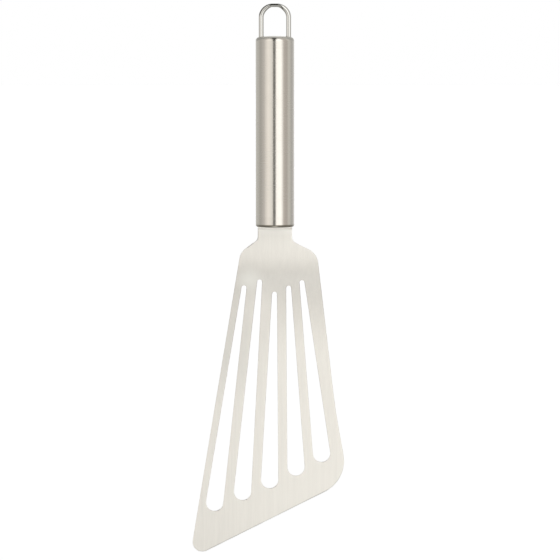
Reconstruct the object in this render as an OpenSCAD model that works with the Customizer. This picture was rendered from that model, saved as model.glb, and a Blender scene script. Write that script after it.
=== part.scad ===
// Fish spatula: a slotted spring steel blade welded into a hollow steel handle with a wire
// hanging loop. All sizes are in millimetres.
//
// The spatula hangs upright. The origin is the hang point, inside the top of the loop. +Z runs
// up the handle and -Y is the food side of the blade.

/* [Handle] */
// Outside diameter of the handle tube
handle_d = 20; // [16:0.5:28]
// Wall thickness of the tube and of both caps
handle_wall = 0.8; // [0.5:0.1:1.1]
// Length of the handle from the crown of one cap to the crown of the other
handle_l = 99.5; // [70:0.5:150]
// Straight skirt of each cap, from its rounded rim to the seam
cap_skirt = 3; // [2:0.5:10]
// Radius of the rounded rim between the rear cap's skirt and its crown
rear_rim_r = 2.2; // [1.2:0.1:3]
// Radius of the rounded rim between the front cap's skirt and its crown
front_rim_r = 1.3; // [1.2:0.1:3]
// Radius of the shallow dome across the crown of each cap
dome_r = 80; // [30:5:200]
// Width of the ground seam between the tube and a cap
seam_w = 0.8; // [0.5:0.1:2]
// How far the root of a seam stands into the bore
seam_root = 0.3; // [0.1:0.05:0.6]

/* [Hanging loop] */
// Diameter of the loop's wire
wire_d = 2.6; // [2:0.1:3.2]
// Clear height from the crown of the rear cap to the inside of the loop
loop_clear = 14.2; // [10:0.1:40]
// Distance from the outside of the handle in to the centre of a leg
leg_inset = 2.9; // [2.6:0.1:4]
// Straight stretch across the top of the loop
crown_w = 3; // [0.5:0.1:6]
// How far the legs reach in below the crown of the rear cap
leg_reach = 4; // [3.2:0.1:8]
// Clearance all round a leg in its hole
wire_fit = 0.05; // [0.02:0.01:0.2]
// Width of the weld bead round a leg inside the cap
leg_bead = 0.6; // [0.3:0.05:0.7]
// How far down the leg that bead runs from the inside of the crown
leg_bead_h = 1.2; // [0.6:0.1:2]

/* [Neck and tang] */
// Thickness of the blade's sheet
sheet_t = 1; // [0.7:0.05:1.5]
// Room between each edge of the neck and the bore of the handle
neck_gap = 0.3; // [0.25:0.05:2]
// Neck below the handle, down to the first shoulder
neck_l = 6.05; // [4:0.05:20]
// How much lower the right shoulder starts than the left one
right_drop = 0.65; // [0:0.05:4]
// Width of the tang inside the handle
tang_w = 12; // [6:0.5:13]
// How far the tang reaches into the handle
tang_l = 12; // [8:0.5:40]
// How far the neck passes into the front cap before it steps down to the tang
neck_seat = 2; // [1.5:0.1:4]
// Clearance all round the neck in the slot of the cap
neck_fit = 0.1; // [0.05:0.01:0.2]
// Radius of the weld beads along the neck
neck_bead = 0.8; // [0.4:0.1:1.2]

/* [Blade outline] */
// From the handle down to the sharp corner of the tip, before it is rounded
blade_l = 173.2; // [140:0.1:220]
// Slope of the left shoulder, in degrees below level
left_slope = 36; // [20:1:50]
// Slope of the right shoulder, in degrees below level
right_slope = 27; // [20:1:50]
// Corner of the left shoulder, out from the axis of the handle
left_out = 17.9; // [16:0.05:24]
// Corner of the right shoulder, out from the axis of the handle
right_out = 21.9; // [18:0.1:28]
// Flare of the left side, in degrees from the axis
left_flare = 9.4; // [7:0.1:12]
// Flare of the upper right side, in degrees from the axis
right_flare = 6.7; // [5:0.1:9]
// Length of the upper right side, measured down the axis
hip_drop = 81.4; // [60:0.1:90]
// Flare of the lower right side, in degrees from the axis
hip_flare = 10.1; // [9.2:0.1:13]
// Rise of the front edge from the tip to the heel, in degrees
front_rise = 26.5; // [20:0.5:30]
// Rounding where the neck meets a shoulder
root_r = 3; // [0.5:0.1:4]
// Rounding of the left shoulder
left_r = 8; // [3:0.5:10]
// Rounding of the right shoulder
right_r = 9; // [3:0.5:12]
// Rounding between the upper and the lower right side
hip_r = 300; // [60:10:400]
// Rounding of the heel, where the front edge meets the right side
heel_r = 18; // [6:0.5:20]
// Rounding of the tip
tip_r = 5.1; // [2:0.1:7]

/* [Slots] */
// Width of every slot at its narrow upper end
slot_top_w = 2.55; // [1.5:0.05:3.5]
// Width of every slot at its wide lower end
slot_foot_w = 8.95; // [5:0.05:10]
// From the handle down to the highest slot
slot_start = 26.8; // [24:0.1:50]
// Solid metal between the first slot and the left side
left_rib = 3.6; // [2:0.1:6]
// Solid metal between the upper end of the last slot and the right side
right_rib_top = 8.3; // [5:0.1:10]
// Solid metal between the lower end of the last slot and the right side
right_rib_foot = 6.7; // [3:0.1:10]
// How much closer each next slot lies than the one before it
slot_crowding = 0.4; // [0:0.05:0.6]
// Solid metal between the first slot and the front edge
front_band_left = 16.2; // [8:0.1:40]
// Solid metal between the last slot and the front edge
front_band_right = 14.2; // [8:0.1:40]
// How much lower the foot of the middle slot lies than on an even line from the first to the last
slot_bow = 1.2; // [0:0.1:3]

/* [Blade in side view] */
// Backward bend below the neck, in degrees
ramp_angle = 20; // [8:0.5:30]
// Straight sheet between the handle and the backward bend
bend_start = 7.3; // [5:0.1:15]
// Radius of the backward bend
bend_r = 52; // [30:1:90]
// Straight ramp between the backward bend and the forward one
ramp_l = 3; // [1:0.5:12]
// Radius of the forward bend
sweep_r = 150; // [60:1:220]
// Slope that is left where the forward bend runs out into the belly, in degrees
sweep_end = 5; // [2:0.5:7]
// Radius of the shallow belly of the working blade
belly_r = 750; // [500:10:1500]

/* [Hidden] */
$fn = 96;
// Steps round a long arc, so that it stays true to its radius
long_arc = 1440;
// Overshoot of a cutting shape past the metal that it cuts
past = 1;
// How much an arc is enlarged, so that it crosses the straight lines it would only touch
graze = 0.004;
// How far each slot starts below the highest one
slot_drops = [3.2, 0, 6.5, 3.3, 0.4];

handle_r = handle_d / 2;
bore_r = handle_r - handle_wall;
rear_crown = -loop_clear;
front_crown = rear_crown - handle_l;
leg_x = handle_r - leg_inset;
loop_bend_r = leg_x - crown_w / 2;
crown_z = wire_d / 2;

// Height of a cap's crown above the level where its rim meets its skirt
function rise(rim_r) = dome_r - sqrt(pow(dome_r - rim_r, 2) - pow(handle_r - rim_r, 2));
rear_cap_h = rise(rear_rim_r) + cap_skirt;
front_cap_h = rise(front_rim_r) + cap_skirt;
tube_top = rear_crown - rear_cap_h - seam_w;
tube_l = handle_l - rear_cap_h - front_cap_h - 2 * seam_w;

// Point that lies d away from p in the direction a, in degrees from +X
function off(p, d, a) = p + d * [cos(a), sin(a)];
// Point where the line through p in direction a crosses the line through q in direction b
function meet(p, a, q, b) =
    off(p, ((q[0] - p[0]) * sin(b) - (q[1] - p[1]) * cos(b)) / sin(b - a), a);

neck_x = bore_r - neck_gap;
left_down = 270 - left_flare;
right_down = 270 + right_flare;
hip_down = 270 + hip_flare;

// Sharp corners of the outline, in front view
left_root = [-neck_x, front_crown - neck_l];
right_root = [neck_x, left_root[1] - right_drop];
left_corner = meet(left_root, 180 + left_slope, [-left_out, 0], 90);
right_corner = meet(right_root, -right_slope, [right_out, 0], 90);
tip = meet(left_corner, left_down, [0, front_crown - blade_l], 0);
hip = meet(right_corner, right_down, [0, right_corner[1] - hip_drop], 0);
heel = meet(tip, front_rise, hip, hip_down);
neck_top = [neck_x, front_crown + neck_seat];

// Centres of the round ends of the slots
slots = len(slot_drops);
last = slots - 1;
top_r = slot_top_w / 2;
foot_r = slot_foot_w / 2;
function top_z(i) = front_crown - slot_start - slot_drops[i] - top_r;
first_top = meet(off(left_corner, left_rib + top_r, -left_flare), left_down, [0, top_z(0)], 0);
last_top = meet(off(right_corner, right_rib_top + top_r, 180 + right_flare), right_down,
    [0, top_z(last)], 0);
// Metal between slot i and the front edge
function band(i) = front_band_left + (front_band_right - front_band_left) * i / last
    - 4 * slot_bow * i * (last - i) / pow(last, 2);
// Point of the line on which the foot of slot i is centred, parallel to the front edge
function foot_line(i) = off(tip, band(i) + foot_r, 90 + front_rise);
first_foot = meet(off(left_corner, left_rib + foot_r, -left_flare), left_down,
    foot_line(0), front_rise);
last_foot = meet(off(hip, right_rib_foot + foot_r, 180 + hip_flare), hip_down,
    foot_line(last), front_rise);
// Place of slot i between the first at a and the last at b, with the spaces closing up evenly
function spread(a, b, i) = a + (b - a) * i / last + slot_crowding * i * (last - i) / 2;
function top_centre(i) = [spread(first_top[0], last_top[0], i), top_z(i)];
function foot_centre(i) =
    meet([spread(first_foot[0], last_foot[0], i), 0], 90, foot_line(i), front_rise);

// Middle of the sheet in side view, as [y, z]: the points where its bends start and end
bend_top = [0, front_crown - bend_start];
ramp_top = off(bend_top + [bend_r, 0], bend_r, 180 + ramp_angle);
ramp_end = off(ramp_top, ramp_l, 270 + ramp_angle);
sweep_c = off(ramp_end, sweep_r, 180 + ramp_angle);
belly_top = off(sweep_c, sweep_r, sweep_end);
belly_c = off(belly_top, belly_r, 180 + sweep_end);
belly_end = asin((tip[1] - past - belly_c[1]) / belly_r);
tip_end = off(belly_c, belly_r, belly_end);
tang_top = front_crown + tang_l;

// Metal between the corner v of the outline a, v, b and the arc of radius r that rounds it. It
// runs past the outline a little, so that it joins or cuts the metal cleanly. The points follow
// each other counter-clockwise round the metal.
module corner(a, v, b, r) {
    u = (a - v) / norm(a - v);
    w = (b - v) / norm(b - v);
    half = acos(u * w) / 2;
    reach = r / tan(half);
    centre = v + (u + w) / norm(u + w) * r / sin(half);
    kite = [v, v + u * reach, centre, v + w * reach];
    difference() {
        polygon([for (p = kite) centre + (p - centre) * (1 + past / r)]);
        translate(centre) circle(r + graze, $fn = long_arc);
    }
}

// Slot with round ends, of radius r at p and radius s at q, and straight sides between them
module taper_slot(p, r, q, s) {
    way = atan2(q[1] - p[1], q[0] - p[0]);
    lean = 90 + asin((s - r) / norm(q - p));
    translate(p) circle(r + graze);
    translate(q) circle(s + graze);
    polygon([off(p, r, way + lean), off(q, s, way + lean), q,
        off(q, s, way - lean), off(p, r, way - lean), p]);
}

// Outline of the blade in front view, with its tang, its rounded corners and its slots
module outline() {
    difference() {
        union() {
            polygon([[-neck_x, neck_top[1]], left_root, left_corner, tip, heel, hip,
                right_corner, right_root, neck_top]);
            translate([-tang_w / 2, left_root[1]]) square([tang_w, tang_top - left_root[1]]);
            corner([-neck_x, neck_top[1]], left_root, left_corner, root_r);
            corner(right_corner, right_root, neck_top, root_r);
            corner(heel, hip, right_corner, hip_r);
        }
        corner(left_root, left_corner, tip, left_r);
        corner(hip, right_corner, right_root, right_r);
        corner(left_corner, tip, heel, tip_r);
        corner(tip, heel, hip, heel_r);
        for (i = [0:last]) taper_slot(top_centre(i), top_r, foot_centre(i), foot_r);
    }
}

// Everything behind a face of the sheet in side view. The face lies d in front of the middle of
// the sheet. The space behind it reaches back to y = far, and past both ends of the sheet by over.
module behind(d, far, over) {
    neck_line = off(bend_top, d, 180);
    ramp_line = off(ramp_top, d, 180 + ramp_angle);
    sweep_line = off(belly_top, d, 180 + sweep_end);
    tip_line = off(tip_end, d, 180 + belly_end);
    top = [neck_line[0], tang_top + over];
    bend = meet(neck_line, 270, ramp_line, 270 + ramp_angle);
    sweep = meet(ramp_line, 270 + ramp_angle, sweep_line, 270 + sweep_end);
    belly = meet(sweep_line, 270 + sweep_end, tip_line, 270 + belly_end);
    foot = off(tip_line, over, 270 + belly_end);
    difference() {
        union() {
            polygon([top, bend, sweep, belly, foot, [far, foot[1]], [far, top[1]]]);
            corner(bend, sweep, belly, sweep_r - d);
            corner(sweep, belly, foot, belly_r - d);
        }
        corner(top, bend, sweep, bend_r + d);
    }
}

// Sheet in side view, from the tang down past the tip
module side_view() {
    back = 4 * bend_r;
    difference() {
        behind(sheet_t / 2, back, 0);
        behind(-sheet_t / 2, back + past, past);
    }
}

// Spring steel blade: its outline cut from one sheet, bent back below the neck and swept
// forward again into a shallow belly
module blade() {
    depth = norm(heel - tip);
    color([0.88, 0.87, 0.84]) intersection() {
        rotate([90, 0, 0]) linear_extrude(2 * depth, center = true) outline();
        rotate([90, 0, 90]) linear_extrude(4 * depth, center = true) side_view();
    }
}

// Half section of a closed cap, drawn in from its outside by inset, with its crown at z = 0
// and its open end at z = -h
module cap_half(rim_r, inset, h) {
    rim = [handle_r - rim_r, -rise(rim_r)];
    dome_c = [0, -dome_r];
    r = rim_r - inset;
    reach = r + past;
    difference() {
        intersection() {
            translate([0, -h]) square([handle_r - inset, h + past]);
            translate(dome_c) circle(dome_r - inset, $fn = long_arc);
        }
        difference() {
            polygon([rim, rim + [reach, 0], rim + [reach, reach],
                rim + reach * (rim - dome_c) / norm(rim - dome_c)]);
            translate(rim) circle(r + graze);
        }
    }
}

// Drawn steel cap with its crown at z = 0 and its skirt below it
module cap(rim_r, h) {
    rotate_extrude() difference() {
        cap_half(rim_r, 0, h);
        cap_half(rim_r, handle_wall, h + past);
    }
}

// Ring of weld metal between a cap and the tube, flush outside and proud in the bore
module seam() {
    rotate_extrude() translate([bore_r - seam_root, 0])
        square([handle_wall + seam_root, seam_w]);
}

module handle_tube() {
    color([0.74, 0.71, 0.66]) translate([0, 0, tube_top - tube_l]) difference() {
        cylinder(tube_l, r = handle_r);
        translate([0, 0, -past]) cylinder(tube_l + 2 * past, r = bore_r);
    }
}

// Rear cap, bored through its crown for the two legs of the loop
module rear_cap() {
    color([0.72, 0.7, 0.66]) difference() {
        translate([0, 0, rear_crown]) cap(rear_rim_r, rear_cap_h);
        for (x = [-leg_x, leg_x]) translate([x, 0, rear_crown - rear_cap_h])
            cylinder(rear_cap_h + past, r = wire_d / 2 + wire_fit);
    }
}

// Front cap, slotted through its crown for the neck of the blade
module front_cap() {
    slot = [2 * (neck_x + neck_fit), sheet_t + 2 * neck_fit, neck_seat + past];
    color([0.72, 0.7, 0.66]) difference() {
        translate([0, 0, front_crown]) mirror([0, 0, 1]) cap(front_rim_r, front_cap_h);
        translate([-slot[0] / 2, -slot[1] / 2, front_crown - past]) cube(slot);
    }
}

// Loop of round wire: two straight legs, two quarter bends and a short straight crown
module hanging_loop() {
    bend_z = crown_z - loop_bend_r;
    foot_z = rear_crown - leg_reach;
    color([0.8, 0.8, 0.79]) {
        for (side = [0, 1]) mirror([side, 0, 0]) {
            translate([leg_x, 0, foot_z]) cylinder(bend_z - foot_z, d = wire_d);
            translate([crown_w / 2, 0, bend_z]) rotate([90, 0, 0])
                rotate_extrude(angle = 90) translate([loop_bend_r, 0]) circle(d = wire_d);
        }
        translate([-crown_w / 2, 0, crown_z]) rotate([0, 90, 0]) cylinder(crown_w, d = wire_d);
    }
}

// Two weld beads along the neck, one on each face of the sheet, seated on the front cap
module tang_weld() {
    color([0.66, 0.64, 0.6]) difference() {
        for (y = [-sheet_t / 2, sheet_t / 2]) translate([-neck_x, y, front_crown])
            rotate([0, 90, 0]) cylinder(2 * neck_x, r = neck_bead);
        translate([-handle_r, -sheet_t / 2, front_crown - past - neck_bead])
            cube([handle_d, sheet_t, 2 * (past + neck_bead)]);
        translate([0, 0, front_crown]) mirror([0, 0, 1]) rotate_extrude()
            cap_half(front_rim_r, 0, front_cap_h);
    }
}

// Two weld beads inside the rear cap, one round each leg of the loop
module loop_welds() {
    bead_z = rear_crown - handle_wall - leg_bead_h;
    color([0.66, 0.64, 0.6]) intersection() {
        translate([0, 0, rear_crown]) rotate_extrude()
            cap_half(rear_rim_r, handle_wall, rear_cap_h);
        for (x = [-leg_x, leg_x]) translate([x, 0, bead_z]) difference() {
            cylinder(leg_bead_h + past, r = wire_d / 2 + leg_bead);
            translate([0, 0, -past]) cylinder(leg_bead_h + 3 * past, d = wire_d);
        }
    }
}

module front_seam_weld() {
    color([0.68, 0.66, 0.62]) translate([0, 0, tube_top - tube_l - seam_w]) seam();
}

module rear_seam_weld() {
    color([0.68, 0.66, 0.62]) translate([0, 0, tube_top]) seam();
}

blade();
handle_tube();
front_cap();
rear_cap();
hanging_loop();
tang_weld();
loop_welds();
front_seam_weld();
rear_seam_weld();
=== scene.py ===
import math

import bpy
import numpy as np
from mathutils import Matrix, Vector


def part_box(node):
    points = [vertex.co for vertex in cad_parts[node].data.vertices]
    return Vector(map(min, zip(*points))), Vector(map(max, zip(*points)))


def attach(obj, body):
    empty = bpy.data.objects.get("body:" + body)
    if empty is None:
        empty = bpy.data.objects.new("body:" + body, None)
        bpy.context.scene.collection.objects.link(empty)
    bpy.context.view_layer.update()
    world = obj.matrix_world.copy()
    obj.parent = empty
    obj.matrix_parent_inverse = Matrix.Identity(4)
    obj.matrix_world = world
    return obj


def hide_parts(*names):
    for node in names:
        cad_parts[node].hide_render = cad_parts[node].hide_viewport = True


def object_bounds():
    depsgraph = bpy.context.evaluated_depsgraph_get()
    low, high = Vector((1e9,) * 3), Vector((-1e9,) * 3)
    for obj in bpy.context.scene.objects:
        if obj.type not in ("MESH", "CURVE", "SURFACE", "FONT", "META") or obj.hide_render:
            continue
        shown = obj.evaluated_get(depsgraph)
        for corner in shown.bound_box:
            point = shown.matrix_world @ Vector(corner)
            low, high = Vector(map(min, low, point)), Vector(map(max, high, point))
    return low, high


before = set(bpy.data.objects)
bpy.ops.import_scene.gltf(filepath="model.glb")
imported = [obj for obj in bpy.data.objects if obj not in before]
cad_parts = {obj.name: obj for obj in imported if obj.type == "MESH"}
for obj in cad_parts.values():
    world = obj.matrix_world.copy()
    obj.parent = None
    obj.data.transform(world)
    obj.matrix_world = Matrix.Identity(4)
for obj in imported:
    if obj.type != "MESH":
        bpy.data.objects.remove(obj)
cad_low, cad_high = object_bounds()
bpy.context.scene.view_settings.view_transform = "Standard"


# Camera. It looks square on at the food side of the blade through a long lens, from just above
# level, so that the crown of the rear cap shows as a narrow sliver behind the legs of the loop.
LENS_MM = 600.0
SENSOR_MM = 36.0
VIEW_WIDTH = 0.2908
VIEW_CENTRE = (0.00263, 0.006, -0.1410)
VIEW_DOWN = math.radians(2.5)
NEAREST_SEEN, FARTHEST_SEEN = 0.05, 40.0

view_distance = VIEW_WIDTH * LENS_MM / SENSOR_MM
camera_data = bpy.data.cameras.new("camera")
camera_data.lens = LENS_MM
camera_data.sensor_width = SENSOR_MM
camera_data.clip_start = NEAREST_SEEN
camera_data.clip_end = FARTHEST_SEEN
camera = bpy.data.objects.new("camera", camera_data)
camera.location = (
    VIEW_CENTRE[0],
    VIEW_CENTRE[1] - view_distance * math.cos(VIEW_DOWN),
    VIEW_CENTRE[2] + view_distance * math.sin(VIEW_DOWN),
)
camera.rotation_euler = (math.radians(90.0) - VIEW_DOWN, 0.0, 0.0)
bpy.context.scene.collection.objects.link(camera)
bpy.context.scene.camera = camera


# Studio. A pale cloth tent stands all round the hanging spatula and is its only light. It is bright
# beside the camera, dark in the slit that the camera looks through, and greyer at the sides and in
# the corners above, and a white card lies on the ground. The camera itself sees plain white.
TENT_STOPS = (
    (-180, (1.04, 1.03, 1.00)),
    (-125, (0.84, 0.83, 0.79)),
    (-97, (0.65, 0.63, 0.59)),
    (-68, (0.88, 0.84, 0.80)),
    (-57, (1.27, 1.21, 1.14)),
    (-40, (1.58, 1.51, 1.42)),
    (-15, (1.38, 1.35, 1.28)),
    (10, (2.05, 2.03, 1.97)),
    (35, (2.12, 2.10, 2.04)),
    (58, (0.81, 0.75, 0.70)),
    (75, (0.72, 0.67, 0.62)),
    (92, (0.94, 0.92, 0.86)),
    (120, (0.68, 0.67, 0.65)),
    (150, (0.98, 0.96, 0.95)),
    (180, (1.04, 1.03, 1.00)),
)
CEILING = (0.65, 0.64, 0.61)
CEILING_RISE = (0.80, 0.97)
GROUND = (0.50, 0.485, 0.455)
GROUND_FALL = (0.10, -0.80)
SLIT = (0.05, 0.05, 0.04)
SLIT_X, SLIT_HALF_WIDTH, SLIT_SOFTNESS = -0.057, 0.145, 0.05
SLIT_DEPTH, SLIT_FOOT = (0.45, 0.25), (-0.35, -0.05)
CARD = (1.60, 1.60, 1.58)
CARD_HALF_WIDTH, CARD_SOFTNESS = 0.15, 0.04
CARD_FALL = (-0.67, -0.81)
LEFT_CORNER, RIGHT_CORNER = (0.48, 0.48, 0.46), (0.60, 0.60, 0.58)
CORNER_WAY = (0.50, 0.68, 0.54)
CORNER_REACH, CORNER_BLEND = (0.80, 0.92), 0.05


def wire_up(tree, kind, inputs=None, **settings):
    """Adds a node, sets its properties, and feeds its sockets with values or with other sockets."""
    node = tree.nodes.new(kind)
    for name, value in settings.items():
        setattr(node, name, value)
    for name, value in (inputs or {}).items():
        if isinstance(value, bpy.types.NodeSocket):
            tree.links.new(value, node.inputs[name])
        else:
            node.inputs[name].default_value = value
    return node


def sum_up(tree, operation, a, b=0.0, c=0.0):
    """One Math node's result. Each argument is a number or a socket."""
    return wire_up(tree, "ShaderNodeMath", {0: a, 1: b, 2: c}, operation=operation).outputs[0]


def blend_colour(tree, share, first, second):
    """The first colour where share is 0 and the second where it is 1."""
    mix = wire_up(tree, "ShaderNodeMix", data_type="RGBA")
    for socket, value in ((mix.inputs["Factor"], share), (mix.inputs[6], first), (mix.inputs[7], second)):
        if isinstance(value, bpy.types.NodeSocket):
            tree.links.new(value, socket)
        else:
            socket.default_value = (*value, 1.0) if isinstance(value, tuple) else value
    return mix.outputs[2]


def smooth_step(tree, value, low, high):
    """Rises smoothly from 0 at low to 1 at high, whichever of the two is the greater number."""
    inputs = {"Value": value, "From Min": low, "From Max": high}
    node = wire_up(tree, "ShaderNodeMapRange", inputs, interpolation_type="SMOOTHSTEP")
    return node.outputs["Result"]


def build_tent():
    """World shader. The tent's colour goes by compass angle from the camera's side, the ceiling and
    the ground take over above and below it, and the slit, the card and the two corners lie over
    that. Each is a mask on the direction: the slit and the card by X, Y and Z, a corner by how near
    the direction is to CORNER_WAY, mirrored for the left."""
    world = bpy.data.worlds.new("light_tent")
    world.use_nodes = True
    tree = world.node_tree
    tree.nodes.clear()
    direction = wire_up(tree, "ShaderNodeTexCoord").outputs["Generated"]
    axes = wire_up(tree, "ShaderNodeSeparateXYZ", {0: direction}).outputs
    angle = sum_up(tree, "ARCTAN2", axes["X"], sum_up(tree, "MULTIPLY", axes["Y"], -1.0))
    turn_share = sum_up(tree, "MULTIPLY_ADD", angle, 0.5 / math.pi, 0.5)
    ramp = wire_up(tree, "ShaderNodeValToRGB", {"Fac": turn_share})
    stops = ramp.color_ramp.elements
    for degrees, colour in TENT_STOPS[1:-1]:
        stops.new(degrees / 360.0 + 0.5).color = (*colour, 1.0)
    stops[0].color = (*TENT_STOPS[0][1], 1.0)
    stops[-1].color = (*TENT_STOPS[-1][1], 1.0)
    ramp.color_ramp.interpolation = "EASE"
    up = smooth_step(tree, axes["Z"], *CEILING_RISE)
    down = smooth_step(tree, axes["Z"], *GROUND_FALL)
    colour = blend_colour(tree, up, ramp.outputs["Color"], CEILING)
    colour = blend_colour(tree, down, colour, GROUND)
    aside = sum_up(tree, "ABSOLUTE", sum_up(tree, "SUBTRACT", axes["X"], SLIT_X))
    slit = smooth_step(tree, aside, SLIT_HALF_WIDTH + SLIT_SOFTNESS, SLIT_HALF_WIDTH - SLIT_SOFTNESS)
    in_front = smooth_step(tree, axes["Y"], *SLIT_DEPTH)
    above_ground = smooth_step(tree, axes["Z"], *SLIT_FOOT)
    slit = sum_up(tree, "MULTIPLY", slit, sum_up(tree, "MULTIPLY", in_front, above_ground))
    colour = blend_colour(tree, slit, colour, SLIT)
    sideways = sum_up(tree, "ABSOLUTE", axes["X"])
    card = smooth_step(tree, sideways, CARD_HALF_WIDTH + CARD_SOFTNESS, CARD_HALF_WIDTH)
    card = sum_up(tree, "MULTIPLY", card, smooth_step(tree, axes["Z"], *CARD_FALL))
    colour = blend_colour(tree, card, colour, CARD)
    near = sum_up(tree, "MULTIPLY", sideways, CORNER_WAY[0])
    near = sum_up(tree, "MULTIPLY_ADD", axes["Y"], CORNER_WAY[1], near)
    near = sum_up(tree, "MULTIPLY_ADD", axes["Z"], CORNER_WAY[2], near)
    rightward = smooth_step(tree, axes["X"], -CORNER_BLEND, CORNER_BLEND)
    corner = blend_colour(tree, rightward, LEFT_CORNER, RIGHT_CORNER)
    colour = blend_colour(tree, smooth_step(tree, near, *CORNER_REACH), colour, corner)
    tent = wire_up(tree, "ShaderNodeBackground", {"Color": colour, "Strength": 1.0})
    white = wire_up(tree, "ShaderNodeBackground", {"Color": (1.0, 1.0, 1.0, 1.0), "Strength": 1.0})
    seen = wire_up(tree, "ShaderNodeLightPath").outputs["Is Camera Ray"]
    mixed = wire_up(tree, "ShaderNodeMixShader", {0: seen, 1: tent.outputs[0], 2: white.outputs[0]})
    wire_up(tree, "ShaderNodeOutputWorld", {"Surface": mixed.outputs[0]})
    return world


bpy.context.scene.world = build_tent()


# Floor. A plain pale floor lies below the hanging spatula and takes its soft shadow. It is lifted to
# white only where the camera sees it, and from beneath it is clear.
FLOOR_DROP = 0.03
FLOOR_HALF = 12.0
FLOOR_PAINT = (0.86, 0.86, 0.85)
FLOOR_LIFT = (0.345, 0.36, 0.40)


def build_floor():
    """A flat square, FLOOR_DROP below the lowest point of the model."""
    height = cad_low.z - FLOOR_DROP
    x, y = np.meshgrid([-FLOOR_HALF, FLOOR_HALF], [-FLOOR_HALF, FLOOR_HALF])
    points = np.stack([x.ravel(), y.ravel(), np.full(4, height)], axis=1)
    mesh = bpy.data.meshes.new("floor")
    mesh.from_pydata(points.tolist(), [], [(0, 1, 3, 2)])
    material = bpy.data.materials.new("floor_paint")
    material.use_nodes = True
    tree = material.node_tree
    tree.nodes.clear()
    paint = wire_up(tree, "ShaderNodeBsdfDiffuse", {"Color": (*FLOOR_PAINT, 1.0)})
    seen = wire_up(tree, "ShaderNodeLightPath").outputs["Is Camera Ray"]
    lift = wire_up(tree, "ShaderNodeEmission", {"Color": (*FLOOR_LIFT, 1.0), "Strength": seen})
    lit = wire_up(tree, "ShaderNodeAddShader", {0: paint.outputs[0], 1: lift.outputs[0]})
    beneath = wire_up(tree, "ShaderNodeNewGeometry").outputs["Backfacing"]
    clear = wire_up(tree, "ShaderNodeBsdfTransparent")
    mixed = wire_up(tree, "ShaderNodeMixShader", {0: beneath, 1: lit.outputs[0], 2: clear.outputs[0]})
    wire_up(tree, "ShaderNodeOutputMaterial", {"Surface": mixed.outputs[0]})
    mesh.materials.append(material)
    floor = bpy.data.objects.new("floor", mesh)
    floor.visible_glossy = False
    bpy.context.scene.collection.objects.link(floor)


build_floor()


# Handle tube. A length of drawn stainless tube, brushed round on a lathe after the caps were welded
# on, so that fine rings run round it from end to end.
TUBE_WALL = 0.0008
TUBE_EDGE = 0.00001
ROUND_STEPS = 192
SHARP_FROM = math.radians(40.0)
BRUSHED_STEEL = (0.58, 0.56, 0.525)
BRUSHED_ROUGHNESS = 0.23
RING_DRIFT = 60.0
COARSE_RINGS, FINE_RINGS, SMUDGES = (900.0, 2.0), (5000.0, 3.0), 90.0
COARSE_SHARE, FINE_SHARE = 0.6, 0.4
RING_CONTRAST = (0.3, 0.7)
DARK_RING, LIGHT_RING = 0.98, 1.015
SMUDGE_ROUGHNESS, RING_ROUGHNESS = 0.10, 0.05
GROOVE_STRENGTH, GROOVE_DEPTH = 0.02, 0.00002
GROOVE_STRETCH, GROOVE_TURN = 0.8, 0.25
RIM_FADE_OUTWARD, RIM_FADE_DOWN = 0.0004, 0.0003


def surface(name, points, faces, ends=None):
    """A mesh object from an array of points and an array of four-cornered faces, shaded smooth but
    for edges sharper than SHARP_FROM. Each row of ends holds the corners of one face that closes the
    piece."""
    mesh = bpy.data.meshes.new(name)
    closing = [] if ends is None else ends.tolist()
    mesh.from_pydata(points.reshape(-1, 3).tolist(), [], faces.reshape(-1, 4).tolist() + closing)
    mesh.polygons.foreach_set("use_smooth", np.ones(len(mesh.polygons), dtype=bool))
    mesh.set_sharp_from_angle(angle=SHARP_FROM)
    mesh.update()
    piece = bpy.data.objects.new(name, mesh)
    bpy.context.scene.collection.objects.link(piece)
    return piece


def grid_faces(rows, columns, ring_rows=False, ring_columns=False):
    """Corner numbers of the faces between neighbouring points of a grid, closed on itself where a
    direction is a ring."""
    r = np.arange(rows if ring_rows else rows - 1)[:, None]
    c = np.arange(columns if ring_columns else columns - 1)[None, :]
    below, beside = (r + 1) % rows, (c + 1) % columns
    corners = [r * columns + c, r * columns + beside, below * columns + beside, below * columns + c]
    return np.stack(np.broadcast_arrays(*corners), axis=-1)


def turned(name, profile):
    """A closed profile of (radius, height) points, carried once round the Z axis: x and y are the
    radius times the cosine and the sine of the angle, z is the height."""
    radius, height = np.array(profile, dtype=float).T
    angle = np.linspace(0.0, 2.0 * math.pi, ROUND_STEPS, endpoint=False)[:, None]
    x = radius * np.cos(angle)
    y = radius * np.sin(angle)
    z = np.broadcast_to(height, x.shape)
    return surface(name, np.stack([x, y, z], axis=-1),
                   grid_faces(ROUND_STEPS, len(profile), True, True))


def ring_profile(inner, outer, bottom, top, edge):
    """Rectangle with its four corners cut by edge, clockwise from the inner top corner."""
    return [
        (inner, top - edge), (inner + edge, top), (outer - edge, top), (outer, top - edge),
        (outer, bottom + edge), (outer - edge, bottom), (inner + edge, bottom), (inner, bottom + edge),
    ]


def off_axis(tree, axes):
    """Distance from the Z axis."""
    squares = sum_up(tree, "MULTIPLY", axes["Y"], axes["Y"])
    squares = sum_up(tree, "MULTIPLY_ADD", axes["X"], axes["X"], squares)
    return sum_up(tree, "SQRT", squares)


def scaled(colour, share):
    """A colour made darker or lighter."""
    return tuple(share * part for part in colour)


def new_steel(name):
    """A new material that is all metal, with its node tree and its shader."""
    material = bpy.data.materials.new(name)
    material.use_nodes = True
    shader = material.node_tree.nodes["Principled BSDF"]
    shader.inputs["Metallic"].default_value = 1.0
    return material, material.node_tree, shader


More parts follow.
